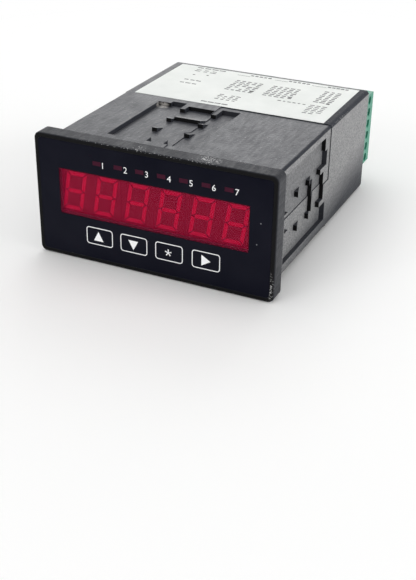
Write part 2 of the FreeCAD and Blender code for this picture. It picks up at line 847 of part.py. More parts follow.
def make_all():
    """Every sub-part by name."""
    parts = {"case": make_case(), "front_film": make_film(), "window_filter": make_filter()}
    parts["indicator_light_guide"] = make_light_guide()
    for i in range(module_count):
        segments = make_segments(i)
        parts["digit_module_%d" % (i + 1)] = make_module(i, segments)
        parts["digit_segments_%d" % (i + 1)] = segments
    parts["display_board"] = make_display_board()
    parts["indicator_leds"] = make_indicator_leds()
    parts["key_switch_bodies"] = make_switch_bodies()
    for name, x in zip(("up", "down", "star", "right"), key_x):
        parts["key_stem_" + name] = make_stem(x)
    parts["stack_connectors"] = make_stack_connectors()
    parts["processor_board"] = make_processor_board()
    parts["processor_chip"] = make_processor()
    parts["card_sockets"] = make_sockets()
    for name, x, face, count in zip(slot_names, terminal_x, card_face_x, pole_counts):
        parts["card_board_" + name] = make_card(face)
        parts["terminal_header_" + name] = make_header(x, count)
        parts["header_pins_" + name] = make_pins(x, face, count)
        parts["terminal_plug_" + name] = make_plug(x, count)
        parts["plug_screws_" + name] = make_plug_screws(x, count)
        parts["plug_clamps_" + name] = make_plug_clamps(x, count)
    parts["input_components"] = make_input_components()
    parts["relays_b"] = make_relays(card_face_x[1])
    parts["relays_c"] = make_relays(card_face_x[2])
    parts["transformer_core"] = make_transformer_core()
    parts["transformer_coil"] = make_transformer_coil()
    parts["filter_capacitors"] = make_filter_capacitors()
    parts["fuse"] = make_fuse()
    parts["fuse_clips"] = make_fuse_clips()
    parts["rear_panel"] = make_rear_panel()
    parts["rear_panel_screws"] = make_panel_screws()
    parts["wiring_label"] = make_label()
    return parts


os.makedirs("parts", exist_ok=True)
for node, shape in make_all().items():
    shape.exportStep("parts/%s.step" % node)
    print("%-24s %2d solids %10.1f mm3 valid %s" % (node, len(shape.Solids), shape.Volume, shape.isValid()))
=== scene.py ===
"""Digital panel meter: a black moulded case with a red six-digit display, four keys and plug-in terminals."""

import math

import bmesh
import bpy
from mathutils import Matrix, Vector


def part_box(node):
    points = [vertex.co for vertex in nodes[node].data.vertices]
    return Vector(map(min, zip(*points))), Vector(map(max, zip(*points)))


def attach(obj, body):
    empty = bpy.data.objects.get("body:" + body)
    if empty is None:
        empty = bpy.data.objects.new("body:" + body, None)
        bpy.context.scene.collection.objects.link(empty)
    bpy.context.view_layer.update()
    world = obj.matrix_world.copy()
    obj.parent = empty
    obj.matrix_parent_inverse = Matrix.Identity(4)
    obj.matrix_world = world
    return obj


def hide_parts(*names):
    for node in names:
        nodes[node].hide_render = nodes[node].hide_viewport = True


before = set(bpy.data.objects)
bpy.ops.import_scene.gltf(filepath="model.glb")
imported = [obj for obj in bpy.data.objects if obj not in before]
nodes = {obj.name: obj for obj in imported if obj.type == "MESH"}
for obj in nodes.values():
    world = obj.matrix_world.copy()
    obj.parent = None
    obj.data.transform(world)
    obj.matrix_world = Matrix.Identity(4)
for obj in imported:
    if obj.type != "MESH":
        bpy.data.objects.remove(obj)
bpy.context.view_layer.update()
MM = 0.001

# Case. Bezel and sleeve are one moulding of black glass-filled plastic with a dull spark-eroded skin. Clamp
# racks are sunk into its four sides. From the bezel to the step that the mould's slides leave, the sleeve is
# a little lower and its long corners are round.
case_edge = 0.12 * MM
slide_half_width = 44.5 * MM
slide_half_height = 21.2 * MM
slide_length = 55.5 * MM
slide_corner = 1.25 * MM
merge_gap = 0.002 * MM
flat_angle = math.radians(0.3)
hard_angle = math.radians(35)
skin_depth = 0.09 * MM
bezel_grey = (0.010, 0.012, 0.019, 1)
sleeve_grey = (0.014, 0.017, 0.027, 1)
# Painted shade: near black for faces turned to the front, which the light does not reach
painted_shade_black = (0.002, 0.002, 0.003, 1)
dust_grey = (0.32, 0.32, 0.31, 1)
# Pale grey of the scuffs, and of the painted highlights on two edges
scuff_and_highlight_grey = (0.55, 0.55, 0.55, 1)
smear_cream = (0.85, 0.81, 0.76, 1)
worn_grey = (0.06, 0.06, 0.066, 1)
# Painted sheen of the right side
painted_sheen_grey = (0.265, 0.265, 0.265, 1)


def put(tree, kind, inputs=None, **settings):
    """Add a node, give it its settings, and fill or link its inputs."""
    made = tree.nodes.new(kind)
    for key, value in settings.items():
        setattr(made, key, value)
    for key, value in (inputs or {}).items():
        if isinstance(value, bpy.types.NodeSocket):
            tree.links.new(value, made.inputs[key])
        else:
            made.inputs[key].default_value = value
    return made


def new_finish(name, roughness, specular=0.5, sheen=0.0):
    """Material with its tree, its shader and the object's own coordinates."""
    finish = bpy.data.materials.new(name)
    finish.use_nodes = True
    tree = finish.node_tree
    shader = tree.nodes["Principled BSDF"]
    shader.inputs["Roughness"].default_value = roughness
    shader.inputs["Specular IOR Level"].default_value = specular
    shader.inputs["Sheen Weight"].default_value = sheen
    place = put(tree, "ShaderNodeTexCoord").outputs["Object"]
    return finish, tree, shader, place


def speckle(tree, place, scale, detail=2.0):
    """Noise from 0 to 1 with this many cells to the metre."""
    inputs = {"Vector": place, "Scale": scale, "Detail": detail}
    return put(tree, "ShaderNodeTexNoise", inputs).outputs["Fac"]


def spread(tree, value, low, high, to_low=0.0, to_high=1.0):
    """Stretch a value from one range to another, held at both ends."""
    inputs = {"Value": value, "From Min": low, "From Max": high, "To Min": to_low, "To Max": to_high}
    return put(tree, "ShaderNodeMapRange", inputs).outputs["Result"]


def times(tree, first, second):
    """Product of two values."""
    return put(tree, "ShaderNodeMath", {0: first, 1: second}, operation="MULTIPLY").outputs["Value"]


def total(tree, first, second):
    """Sum of two values."""
    return put(tree, "ShaderNodeMath", {0: first, 1: second}, operation="ADD").outputs["Value"]


def larger(tree, first, second):
    """Larger of two values."""
    return put(tree, "ShaderNodeMath", {0: first, 1: second}, operation="MAXIMUM").outputs["Value"]


def tinted(tree, factor, first, second):
    """Mix of two colours."""
    return put(tree, "ShaderNodeMix", {0: factor, 6: first, 7: second}, data_type="RGBA").outputs[2]


def relief(tree, height, depth):
    """Normal of a surface that stands this far out where the height is 1."""
    inputs = {"Height": height, "Distance": depth, "Strength": 1.0}
    return put(tree, "ShaderNodeBump", inputs).outputs["Normal"]


def axis_value(tree, place, axis):
    """One coordinate of a place."""
    return put(tree, "ShaderNodeSeparateXYZ", {"Vector": place}).outputs[axis]


def near(tree, place, centre, size):
    """1 at a place, falling to 0 at the surface of an ellipsoid round it. Sizes in mm."""
    scale = tuple(1 / (s * MM) for s in size)
    shift = tuple(-c * MM * k for c, k in zip(centre, scale))
    local = put(tree, "ShaderNodeVectorMath", {0: place, 1: scale, 2: shift}, operation="MULTIPLY_ADD")
    length = put(tree, "ShaderNodeVectorMath", {0: local.outputs["Vector"]}, operation="LENGTH")
    return spread(tree, length.outputs["Value"], 1.0, 0.3)


def facing(tree, axis, low, high):
    """0 to 1 as a face turns towards one end of an axis."""
    normal = put(tree, "ShaderNodeNewGeometry").outputs["Normal"]
    return spread(tree, axis_value(tree, normal, axis), low, high)


# Heights at which the right side's painted sheen starts and is full, how they rise towards the rear, and how
# far out it starts
painted_sheen_levels = (-32 * MM, -16 * MM)
painted_sheen_rise = 0.2
painted_sheen_wall = (42.4 * MM, 43.2 * MM)
# Middle and reach in mm of each worn patch and of the two painted highlights, and the pattern of its marks
wear_and_highlight_patches = (
    ((21.1, -3.4, 24.0), (5.2, 4.2, 1.0), "scratched"),
    ((-2.0, -6.9, 24.0), (36.0, 0.9, 0.7), "specked"),
    ((-5.5, -4.6, 24.0), (4.0, 2.6, 0.8), "specked"),
    ((46.5, -6.4, -18.0), (1.6, 1.5, 7.0), "scratched"),
    # Painted highlight: a pale line down the bezel's back right edge, where it would catch the light
    ((47.8, -0.3, 2.0), (0.7, 0.6, 24.0), "specked"),
    # Painted highlight: pale glints along the sleeve's round top right edge
    ((45.0, 60.0, 21.0), (1.0, 30.0, 1.2), "specked"))
smear_patch = ((-24.2, 49.0, 20.6), (3.4, 2.0, 1.3))
# Where the dull strip of the top between the label and the right edge begins
beside_label_across = (40.8 * MM, 41.4 * MM)
beside_label_along = (54.4 * MM, 55.4 * MM)


def painted_side_sheen(tree, place):
    """How much painted sheen the right side gets, in place of its reflection of the bright room: less towards
    the foot and the rear, and broken up by the grain.
    """
    rise = put(tree, "ShaderNodeVectorMath", {0: place, 1: (0, -painted_sheen_rise, 1)}, operation="DOT_PRODUCT")
    level = spread(tree, rise.outputs["Value"], *painted_sheen_levels)
    wall = spread(tree, axis_value(tree, place, "X"), *painted_sheen_wall)
    wall = times(tree, facing(tree, "X", 0.96, 0.995), wall)
    grain = spread(tree, speckle(tree, place, 1500, 2.0), 0.36, 0.64, 0.38, 1.0)
    return times(tree, times(tree, level, wall), grain)


def scuffed_and_highlit(tree, place, skin, color):
    """Colour with the worn patches, the painted highlights on two edges and the smear laid over it."""
    marks = {"scratched": spread(tree, speckle(tree, place, 1900, 2.0), 0.5, 0.62),
             "specked": spread(tree, speckle(tree, place, 2100, 1.0), 0.62, 0.70)}
    for centre, size, kind in wear_and_highlight_patches:
        color = tinted(tree, times(tree, near(tree, place, centre, size), marks[kind]), color, scuff_and_highlight_grey)
    smear = times(tree, near(tree, place, *smear_patch), spread(tree, skin, 0.38, 0.5))
    return tinted(tree, smear, color, smear_cream)


def case_roughness(tree, place, sleeve, mottle):
    """Roughness, drawn out along the sleeve, and duller on the bezel, beside the label and on the rounds."""
    drawn = put(tree, "ShaderNodeVectorMath", {0: place, 1: (1, 0.2, 1)}, operation="MULTIPLY")
    streaks = spread(tree, speckle(tree, drawn.outputs["Vector"], 800, 3.0), 0.35, 0.65, -0.12, 0.12)
    uneven = total(tree, spread(tree, mottle, 0.3, 0.7, 0.9, 1.1), streaks)
    beside_label = times(tree, spread(tree, axis_value(tree, place, "X"), *beside_label_across),
                         spread(tree, axis_value(tree, place, "Y"), *beside_label_along))
    beside_label = times(tree, beside_label, facing(tree, "Z", 0.3, 0.9))
    rounds = times(tree, facing(tree, "X", 0.1, 0.6), facing(tree, "X", 0.995, 0.96))
    rounds = times(tree, times(tree, rounds, sleeve), 0.5)
    duller = larger(tree, larger(tree, beside_label, facing(tree, "Y", -0.6, -0.95)), rounds)
    return times(tree, total(tree, spread(tree, sleeve, 0.0, 1.0, 0.72, 0.5), duller), uneven)


def case_finish():
    """Black spark-eroded plastic, paler on the sleeve, with a painted sheen on the right side, painted shade
    on faces turned to the front, dust, wear and two painted edge highlights.
    """
    finish, tree, shader, place = new_finish("case_plastic", 0.5, 0.5, 0.7)
    shader.inputs["Sheen Roughness"].default_value = 0.25
    skin = speckle(tree, place, 850, 4.0)
    mottle = speckle(tree, place, 90, 4.0)
    sleeve = spread(tree, axis_value(tree, place, "Y"), -0.2 * MM, 0.2 * MM)
    color = tinted(tree, sleeve, bezel_grey, sleeve_grey)
    color = tinted(tree, times(tree, spread(tree, mottle, 0.35, 0.75), 0.25), color, worn_grey)
    # Painted sheen: the right side is made paler where it would reflect the bright room
    color = tinted(tree, times(tree, painted_side_sheen(tree, place), sleeve), color, painted_sheen_grey)
    motes = spread(tree, speckle(tree, place, 1500, 1.0), 0.70, 0.76)
    motes = times(tree, motes, times(tree, facing(tree, "Z", 0.6, 0.95), 0.5))
    color = tinted(tree, motes, color, dust_grey)
    # Painted shade: faces turned to the front, such as the walls of the racks, are made near black
    color = tinted(tree, facing(tree, "Y", -0.6, -0.95), color, painted_shade_black)
    tree.links.new(scuffed_and_highlit(tree, place, skin, color), shader.inputs["Base Color"])
    tree.links.new(case_roughness(tree, place, sleeve, mottle), shader.inputs["Roughness"])
    tree.links.new(relief(tree, skin, skin_depth), shader.inputs["Normal"])
    return finish


def whole_faces(node):
    """Mesh of a CAD node with its loose triangles joined and its flat faces made whole."""
    bm = bmesh.new()
    bm.from_mesh(nodes[node].data)
    bmesh.ops.remove_doubles(bm, verts=bm.verts, dist=merge_gap)
    bmesh.ops.dissolve_limit(bm, angle_limit=flat_angle, verts=bm.verts, edges=bm.edges)
    bmesh.ops.triangulate(bm, faces=[f for f in bm.faces if len(f.verts) > 4], ngon_method="BEAUTY")
    mesh = bpy.data.meshes.new(node + "_whole")
    bm.to_mesh(mesh)
    bm.free()
    return mesh


def made_plain(piece):
    """Put a piece's modifiers into its mesh."""
    bpy.context.view_layer.update()
    graph = bpy.context.evaluated_depsgraph_get()
    mesh = bpy.data.meshes.new_from_object(piece.evaluated_get(graph))
    piece.modifiers.clear()
    piece.data = mesh
    return piece


def new_piece(name, mesh, finish=None):
    """Object at the origin with its place in its mesh."""
    piece = bpy.data.objects.new(name, mesh)
    bpy.context.scene.collection.objects.link(piece)
    if finish:
        mesh.materials.clear()
        mesh.materials.append(finish)
    return piece


def settle(piece, body):
    """Let a piece ride on its body."""
    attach(piece, body)


def corner_cutter(width, height, radius, length, steps=8):
    """Four prisms, from the bezel's back to this length, that leave a round on the sleeve's long corners."""
    bm = bmesh.new()
    inner_x, inner_z = width - radius, height - radius
    for sx, sz in ((1, 1), (1, -1), (-1, 1), (-1, -1)):
        profile = [(inner_x, height + radius), (width + radius, height + radius), (width + radius, inner_z)]
        for step in range(steps + 1):
            turn = math.radians(90 * step / steps)
            profile.append((inner_x + radius * math.cos(turn), inner_z + radius * math.sin(turn)))
        face = bm.faces.new([bm.verts.new((sx * x, 0, sz * z)) for x, z in profile])
        made = bmesh.ops.extrude_face_region(bm, geom=[face])["geom"]
        far_end = [part for part in made if isinstance(part, bmesh.types.BMVert)]
        bmesh.ops.translate(bm, vec=(0, length, 0), verts=far_end)
    bmesh.ops.recalc_face_normals(bm, faces=bm.faces)
    mesh = bpy.data.meshes.new("corner_cutter")
    bm.to_mesh(mesh)
    bm.free()
    return mesh


def softened(name, node, edge, finish, body, cutter=None):
    """Piece that stands for a CAD node, less what a cutter takes, with its hard edges broken."""
    piece = new_piece(name, whole_faces(node), finish)
    if cutter:
        cut = piece.modifiers.new("long corners", "BOOLEAN")
        cut.operation = "DIFFERENCE"
        cut.solver = "EXACT"
        cut.object = cutter
    bevel = piece.modifiers.new("broken edges", "BEVEL")
    bevel.width = edge
    bevel.segments = 2
    bevel.limit_method = "ANGLE"
    bevel.angle_limit = hard_angle
    bevel.use_clamp_overlap = False
    weights = piece.modifiers.new("even shading", "WEIGHTED_NORMAL")
    weights.weight = 80
    piece.data.shade_smooth()
    made_plain(piece)
    settle(piece, body)
    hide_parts(node)


case_plastic = case_finish()
cutter_mesh = corner_cutter(slide_half_width, slide_half_height, slide_corner, slide_length)
cutter = new_piece("corner_cutter", cutter_mesh, case_plastic)
softened("moulded_case", "case", case_edge, case_plastic, "meter", cutter)
bpy.data.objects.remove(cutter)

# Rear panel. A comb of the same plastic closes the back between the terminals. It sits under a groove at the
# top, with two zinc-plated slotted screws at its foot.
steel_dull = (0.46, 0.46, 0.48, 1)
steel_bright = (0.66, 0.66, 0.66, 1)


def dress(finish, *names):
    """Give CAD nodes that keep their shape a finish."""
    for name in names:
        nodes[name].data.materials.clear()
        nodes[name].data.materials.append(finish)


def steel_finish():
    """Zinc-plated steel, a little patchy in tone and gloss."""
    finish, tree, shader, place = new_finish("zinc_steel", 0.35)
    patches = speckle(tree, place, 700, 3.0)
    color = tinted(tree, patches, steel_dull, steel_bright)
    tree.links.new(color, shader.inputs["Base Color"])
    tree.links.new(spread(tree, patches, 0.3, 0.7, 0.28, 0.45), shader.inputs["Roughness"])
    shader.inputs["Metallic"].default_value = 1.0
    return finish


def new_tree(name, sizes):
    """Geometry Nodes tree with a geometry input and these named inputs, and the sockets that give them."""
    tree = bpy.data.node_groups.new(name, "GeometryNodeTree")
    tree.interface.new_socket("Geometry", in_out="INPUT", socket_type="NodeSocketGeometry")
    for title, kind in sizes.items():
        tree.interface.new_socket(title, in_out="INPUT", socket_type="NodeSocket" + kind)
    tree.interface.new_socket("Geometry", in_out="OUTPUT", socket_type="NodeSocketGeometry")
    return tree, put(tree, "NodeGroupInput").outputs


def end_tree(tree, geometry, finish):
    """Make the instances real, give them their finish and close the tree."""
    real = put(tree, "GeometryNodeRealizeInstances", {"Geometry": geometry})
    painted = put(tree, "GeometryNodeSetMaterial", {"Geometry": real.outputs[0], "Material": finish})
    put(tree, "NodeGroupOutput", {"Geometry": painted.outputs[0]})


def grown(name, tree, points, sizes):
    """Plain piece that a tree makes on these points."""
    mesh = bpy.data.meshes.new(name)
    mesh.from_pydata(points, [], [])
    piece = new_piece(name, mesh)
    modifier = piece.modifiers.new("grow", "NODES")
    modifier.node_group = tree
    for item in tree.interface.items_tree:
        if item.in_out == "INPUT" and item.name in sizes:
            modifier[item.identifier] = sizes[item.name]
    return made_plain(piece)


def slotted_screw_tree(finish):
    """Slotted screw heads with a broken rim, one on each point, each slot turned its own way."""
    tree, given = new_tree("slotted_screws", {"Radius": "Float", "Height": "Float", "Rim": "Float",
                                              "Slot": "Vector", "Facing": "Rotation", "Spin": "Vector"})
    head = put(tree, "GeometryNodeMeshCylinder", {
        "Vertices": 40, "Radius": given["Radius"], "Depth": given["Height"]})
    rim = put(tree, "GeometryNodeExtrudeMesh", {
        "Mesh": head.outputs["Mesh"], "Selection": head.outputs["Top"], "Offset Scale": given["Rim"],
        "Individual": False})
    inset = put(tree, "ShaderNodeMath", {0: given["Rim"], 1: given["Radius"]}, operation="DIVIDE")
    scale = put(tree, "ShaderNodeMath", {0: 1.0, 1: inset.outputs[0]}, operation="SUBTRACT")
    top = put(tree, "GeometryNodeScaleElements", {
        "Geometry": rim.outputs["Mesh"], "Selection": rim.outputs["Top"], "Scale": scale.outputs[0]})
    up = put(tree, "ShaderNodeCombineXYZ", {"Z": times(tree, given["Height"], 0.5)})
    blade = put(tree, "GeometryNodeMeshCube", {"Size": given["Slot"]})
    blade = put(tree, "GeometryNodeTransform", {
        "Geometry": blade.outputs["Mesh"], "Translation": up.outputs[0]})
    cut = put(tree, "GeometryNodeMeshBoolean", {"Mesh 1": top.outputs[0], "Mesh 2": blade.outputs[0]},
              operation="DIFFERENCE", solver="EXACT")
    turned = put(tree, "GeometryNodeTransform", {
        "Geometry": cut.outputs["Mesh"], "Rotation": given["Facing"]})
    back = put(tree, "ShaderNodeVectorMath", {0: given["Spin"], "Scale": -1.0}, operation="SCALE")
    spin = put(tree, "FunctionNodeRandomValue", {0: back.outputs[0], 1: given["Spin"], "Seed": 4},
               data_type="FLOAT_VECTOR")
    placed = put(tree, "GeometryNodeInstanceOnPoints", {
        "Points": given["Geometry"], "Instance": turned.outputs[0], "Rotation": spin.outputs[0]})
    end_tree(tree, placed.outputs[0], finish)
    return tree


def islands(bm):
    """Corners of each separate solid of a mesh."""
    left = set(bm.verts)
    found = []
    while left:
        reached = {left.pop()}
        edge = set(reached)
        while edge:
            edge = {e.other_vert(v) for v in edge for e in v.link_edges} - reached
            reached |= edge
        left -= reached
        found.append(reached)
    return found


def solid_boxes(node):
    """Lowest and highest corner of each solid of a CAD node."""
    bm = bmesh.new()
    bm.from_mesh(nodes[node].data)
    bmesh.ops.remove_doubles(bm, verts=bm.verts, dist=merge_gap)
    found = []
    for verts in islands(bm):
        corners = [v.co for v in verts]
        found.append((Vector(map(min, zip(*corners))), Vector(map(max, zip(*corners)))))
    bm.free()
    return found


dress(case_plastic, "rear_panel")
zinc_steel = steel_finish()
screw_tree = slotted_screw_tree(zinc_steel)
foot_screws = solid_boxes("rear_panel_screws")
head_height = 1.3 * MM
head_rim = 0.25 * MM
heads = [((low.x + high.x) / 2, high.y - (head_height + head_rim) / 2, (low.z + high.z) / 2)
         for low, high in foot_screws]
head_radius = (foot_screws[0][1].x - foot_screws[0][0].x) / 2
head_slot = (8 * MM, 0.7 * MM, 0.9 * MM)
head_spin = (0, 1.2, 0)
piece = grown("foot_screw_heads", screw_tree, heads, {
    "Radius": head_radius, "Height": head_height - head_rim, "Rim": head_rim, "Slot": head_slot,
    "Facing": (-math.pi / 2, 0, 0), "Spin": head_spin})
settle(piece, "meter")
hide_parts("rear_panel_screws")

# Front film. A polyester film, printed navy black from behind and bonded into the bezel's recess, with the
# numbers, the key outlines and the key symbols in white.
print_white = (0.97, 0.98, 0.99, 1)
film_dark = (0.005, 0.0055, 0.0115, 1)
film_hazy = (0.0095, 0.0098, 0.017, 1)
film_dust = (0.4, 0.42, 0.45, 1)
film_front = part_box("front_film")[0].y
print_depth = 0.02 * MM


def film_finish():
    """Satin navy-black film with specks of dust."""
    finish, tree, shader, place = new_finish("printed_film", 0.32, 0.06)
    cells = put(tree, "ShaderNodeTexVoronoi", {"Vector": place, "Scale": 190.0})
    chosen = spread(tree, axis_value(tree, cells.outputs["Color"], "X"), 0.74, 0.75)
    dots = times(tree, spread(tree, cells.outputs["Distance"], 0.055, 0.03), chosen)
    haze = spread(tree, speckle(tree, place, 60, 3.0), 0.3, 0.8)
    color = tinted(tree, haze, film_dark, film_hazy)
    color = tinted(tree, times(tree, dots, 0.55), color, film_dust)
    tree.links.new(color, shader.inputs["Base Color"])
    tree.links.new(relief(tree, speckle(tree, place, 3000, 1.0), 0.004 * MM), shader.inputs["Normal"])
    return finish


def ink_finish(name, color):
    """Flat printing ink with a slightly uneven lay-down."""
    finish, tree, shader, place = new_finish(name, 0.5, 0.3)
    thin = tuple(0.88 * c for c in color[:3]) + (1,)
    tree.links.new(tinted(tree, speckle(tree, place, 1800, 2.0), thin, color), shader.inputs["Base Color"])
    return finish


def flat_mesh(curve, depth):
    """Closed mesh of this depth from a flat curve or text."""
    curve.dimensions = "2D"
    curve.fill_mode = "BOTH"
    curve.extrude = depth / 2
    holder = bpy.data.objects.new("outline", curve)
    bpy.context.scene.collection.objects.link(holder)
    bpy.context.view_layer.update()
    graph = bpy.context.evaluated_depsgraph_get()
    mesh = bpy.data.meshes.new_from_object(holder.evaluated_get(graph))
    bpy.data.objects.remove(holder)
    bm = bmesh.new()
    bm.from_mesh(mesh)
    bmesh.ops.remove_doubles(bm, verts=bm.verts, dist=depth / 20)
    bmesh.ops.recalc_face_normals(bm, faces=bm.faces)
    bm.to_mesh(mesh)
    bm.free()
    return mesh


def outline_mesh(loops, depth):
    """Closed plate bounded by loops of points, each loop inside another being a hole."""
    curve = bpy.data.curves.new("outline", "CURVE")
    for loop in loops:
        spline = curve.splines.new("POLY")
        spline.points.add(len(loop) - 1)
        for point, (x, y) in zip(spline.points, loop):
            point.co = (x, y, 0, 1)
        spline.use_cyclic_u = True
    return flat_mesh(curve, depth)


def text_mesh(text, height, depth, thinned=0.002):
    """Closed figure of a plain sans face, with its lower left corner at the origin."""
    curve = bpy.data.curves.new("figure", "FONT")
    curve.body = text
    curve.size = height
    curve.offset = -height * thinned
    curve.resolution_u = 4
    mesh = flat_mesh(curve, depth)
    low = [min(v.co[i] for v in mesh.vertices) for i in (0, 1)]
    high = max(v.co.y for v in mesh.vertices)
    scale = height / (high - low[1])
    mesh.transform(Matrix.Diagonal((scale, scale, 1, 1)) @ Matrix.Translation((-low[0], -low[1], 0)))
    return mesh


def rounded_loop(width, height, radius, steps=6):
    """Outline of a rectangle with round corners, about the origin."""
    loop = []
    for corner in range(4):
        sx = 1 if corner in (0, 3) else -1
        sy = 1 if corner in (0, 1) else -1
        for step in range(steps + 1):
            turn = math.radians(90 * corner + 90 * step / steps)
            loop.append((sx * (width / 2 - radius) + radius * math.cos(turn),
                         sy * (height / 2 - radius) + radius * math.sin(turn)))
    return loop


def gathered(name, parts, finish):
    """One piece from meshes, each with its placing matrix."""
    bm = bmesh.new()
    for mesh, matrix in parts:
        start = len(bm.verts)
        bm.from_mesh(mesh)
        bm.verts.ensure_lookup_table()
        bmesh.ops.transform(bm, matrix=matrix, verts=bm.verts[start:])
        bpy.data.meshes.remove(mesh)
    mesh = bpy.data.meshes.new(name)
    bm.to_mesh(mesh)
    bm.free()
    return new_piece(name, mesh, finish)


def on_film(x, z):
    """Matrix that lays a flat figure on the film with its origin at x and z in mm."""
    turn = Matrix(((1, 0, 0, 0), (0, 0, -1, 0), (0, 1, 0, 0), (0, 0, 0, 1)))
    return Matrix.Translation((x * MM, film_front - print_depth / 2, z * MM)) @ turn


dress(film_finish(), "front_film")
white_ink = ink_finish("white_ink", print_white)

# Print on the film, in mm. Each number stands beside its indicator, and each key has an outline.
first_indicator = -21.95
indicator_pitch = 8.65
number_shift = 2.3
number_height = 2.3
number_foot = 14.45
numbers = []
for i in range(7):
    figure = text_mesh(str(i + 1), number_height * MM, print_depth)
    numbers.append((figure, on_film(first_indicator + indicator_pitch * i + number_shift, number_foot)))
settle(gathered("indicator_numbers", numbers, white_ink), "meter")

key_middles = (-21.8, -7.45, 6.95, 21.65)
key_level = -13.05
key_width = 11.1
key_height = 7.0
key_corner = 1.2
key_line = 0.33
key_outlines = []
for x in key_middles:
    loops = []
    for inset in (0, key_line):
        width, height = key_width - 2 * inset, key_height - 2 * inset
        loops.append(rounded_loop(width * MM, height * MM, (key_corner - inset) * MM))
    key_outlines.append((outline_mesh(loops, print_depth), on_film(x, key_level)))
settle(gathered("key_outlines", key_outlines, white_ink), "meter")


def star_loop(arms, reach, tip, waist):
    """Outline of an asterisk with its arms widening towards their ends."""
    loop = []
    for arm in range(arms):
        turn = math.radians(90 + 360 * arm / arms)
        ahead = Vector((math.cos(turn), math.sin(turn)))
        across = Vector((-ahead.y, ahead.x))
        loop += [tuple(ahead * reach - across * tip), tuple(ahead * reach + across * tip)]
        turn += math.radians(180 / arms)
        loop.append((math.cos(turn) * waist, math.sin(turn) * waist))
    return loop


# Tip or corner of each arrow head in mm, and its outline from there
symbols = {
    "up": (-22.25, -11.1, [(0, 0), (-2.05, -3.8), (2.0, -3.8)]),
    "down": (-7.65, -15.3, [(0, 0), (2.0, 3.75), (-2.05, 3.75)]),
    "right": (19.9, -10.95, [(0, 0), (0, -4.3), (3.55, -2.15)]),
}
signs = []
for x, z, loop in symbols.values():
    signs.append((outline_mesh([[(u * MM, v * MM) for u, v in loop]], print_depth), on_film(x, z)))
star_reach = 1.35 * MM
star_tip = 0.24 * MM
star_waist = 0.27 * MM
star = star_loop(5, star_reach, star_tip, star_waist)
signs.append((outline_mesh([star], print_depth), on_film(6.66, -13.2)))
settle(gathered("key_symbols", signs, white_ink), "meter")

# Red window and indicator windows. The window is tinted acrylic, matt on the outside, and the seven
# indicators are the ends of a tinted light guide.
window_red = (0.60, 0.012, 0.085, 1)
guide_red = (0.055, 0.009, 0.024, 1)


def acrylic_finish(name, color, alpha, roughness):
    """Tinted acrylic that lets part of the light through."""
    finish, tree, shader, place = new_finish(name, roughness, 0.08)
    cloudy = speckle(tree, place, 160, 3.0)
    deep = tuple(0.82 * c for c in color[:3]) + (1,)
    tree.links.new(tinted(tree, cloudy, deep, color), shader.inputs["Base Color"])
    tree.links.new(relief(tree, speckle(tree, place, 3500, 1.0), 0.004 * MM), shader.inputs["Normal"])
    shader.inputs["Alpha"].default_value = alpha
    return finish


dress(acrylic_finish("red_acrylic", window_red, 0.15, 0.3), "window_filter")
dress(acrylic_finish("dark_red_acrylic", guide_red, 1.0, 0.4), "indicator_light_guide")

# Display. Three two-digit modules have a dark red face, with the segments cast into it in red resin. The
# segments are drawn a little short, so that dark joints show between them.
module_red = (0.17, 0.004, 0.012, 1)
segment_red = (0.56, 0.005, 0.036, 1)
segment_share = 0.94


def moulded_finish(name, color, roughness=0.45, grain=1500, varied=0.25, specular=0.5):
    """Moulded plastic with a fine grain and a little colour variation."""
    finish, tree, shader, place = new_finish(name, roughness, specular)
    other = tuple(c * (1 - varied) for c in color[:3]) + (1,)
    mixed = tinted(tree, speckle(tree, place, grain / 6, 3.0), other, color)
    tree.links.new(mixed, shader.inputs["Base Color"])
    tree.links.new(relief(tree, speckle(tree, place, grain, 2.0), 0.015 * MM), shader.inputs["Normal"])
    return finish


modules = ["digit_module_%d" % i for i in (1, 2, 3)]
segments = ["digit_segments_%d" % i for i in (1, 2, 3)]
dress(moulded_finish("module_face", module_red, 0.5, varied=0.15, specular=0.1), *modules)
segment_resin = moulded_finish("segment_resin", segment_red, 0.4, grain=900, varied=0.08, specular=0.1)


def shortened(node, share):
    """Mesh of a CAD node whose solids keep only this share of their length."""
    bm = bmesh.new()
    bm.from_mesh(nodes[node].data)
    bmesh.ops.remove_doubles(bm, verts=bm.verts, dist=merge_gap)
    for verts in islands(bm):
        edges = {e for v in verts for e in v.link_edges if abs(e.verts[0].co.y - e.verts[1].co.y) < 1e-6}
        longest = max(edges, key=lambda e: e.calc_length())
        axis = (longest.verts[1].co - longest.verts[0].co).normalized()
        middle = sum((v.co for v in verts), Vector()) / len(verts)
        for v in verts:
            v.co += axis * (v.co - middle).dot(axis) * (share - 1)
    bmesh.ops.dissolve_limit(bm, angle_limit=flat_angle, verts=bm.verts, edges=bm.edges)
    mesh = bpy.data.meshes.new(node + "_short")
    bm.to_mesh(mesh)
    bm.free()
    return mesh


for i, node in enumerate(segments):
    piece = new_piece("cast_segments_%d" % (i + 1), shortened(node, segment_share), segment_resin)
    settle(piece, "meter")
    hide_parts(node)

# Boards and what stands on them: green solder mask on glass-fibre board, black and coloured plastic parts,
# tinned pins and clips, a taped transformer, a glass fuse and sleeved capacitors.
mask_green = (0.012, 0.10, 0.04, 1)
track_green = (0.05, 0.24, 0.09, 1)


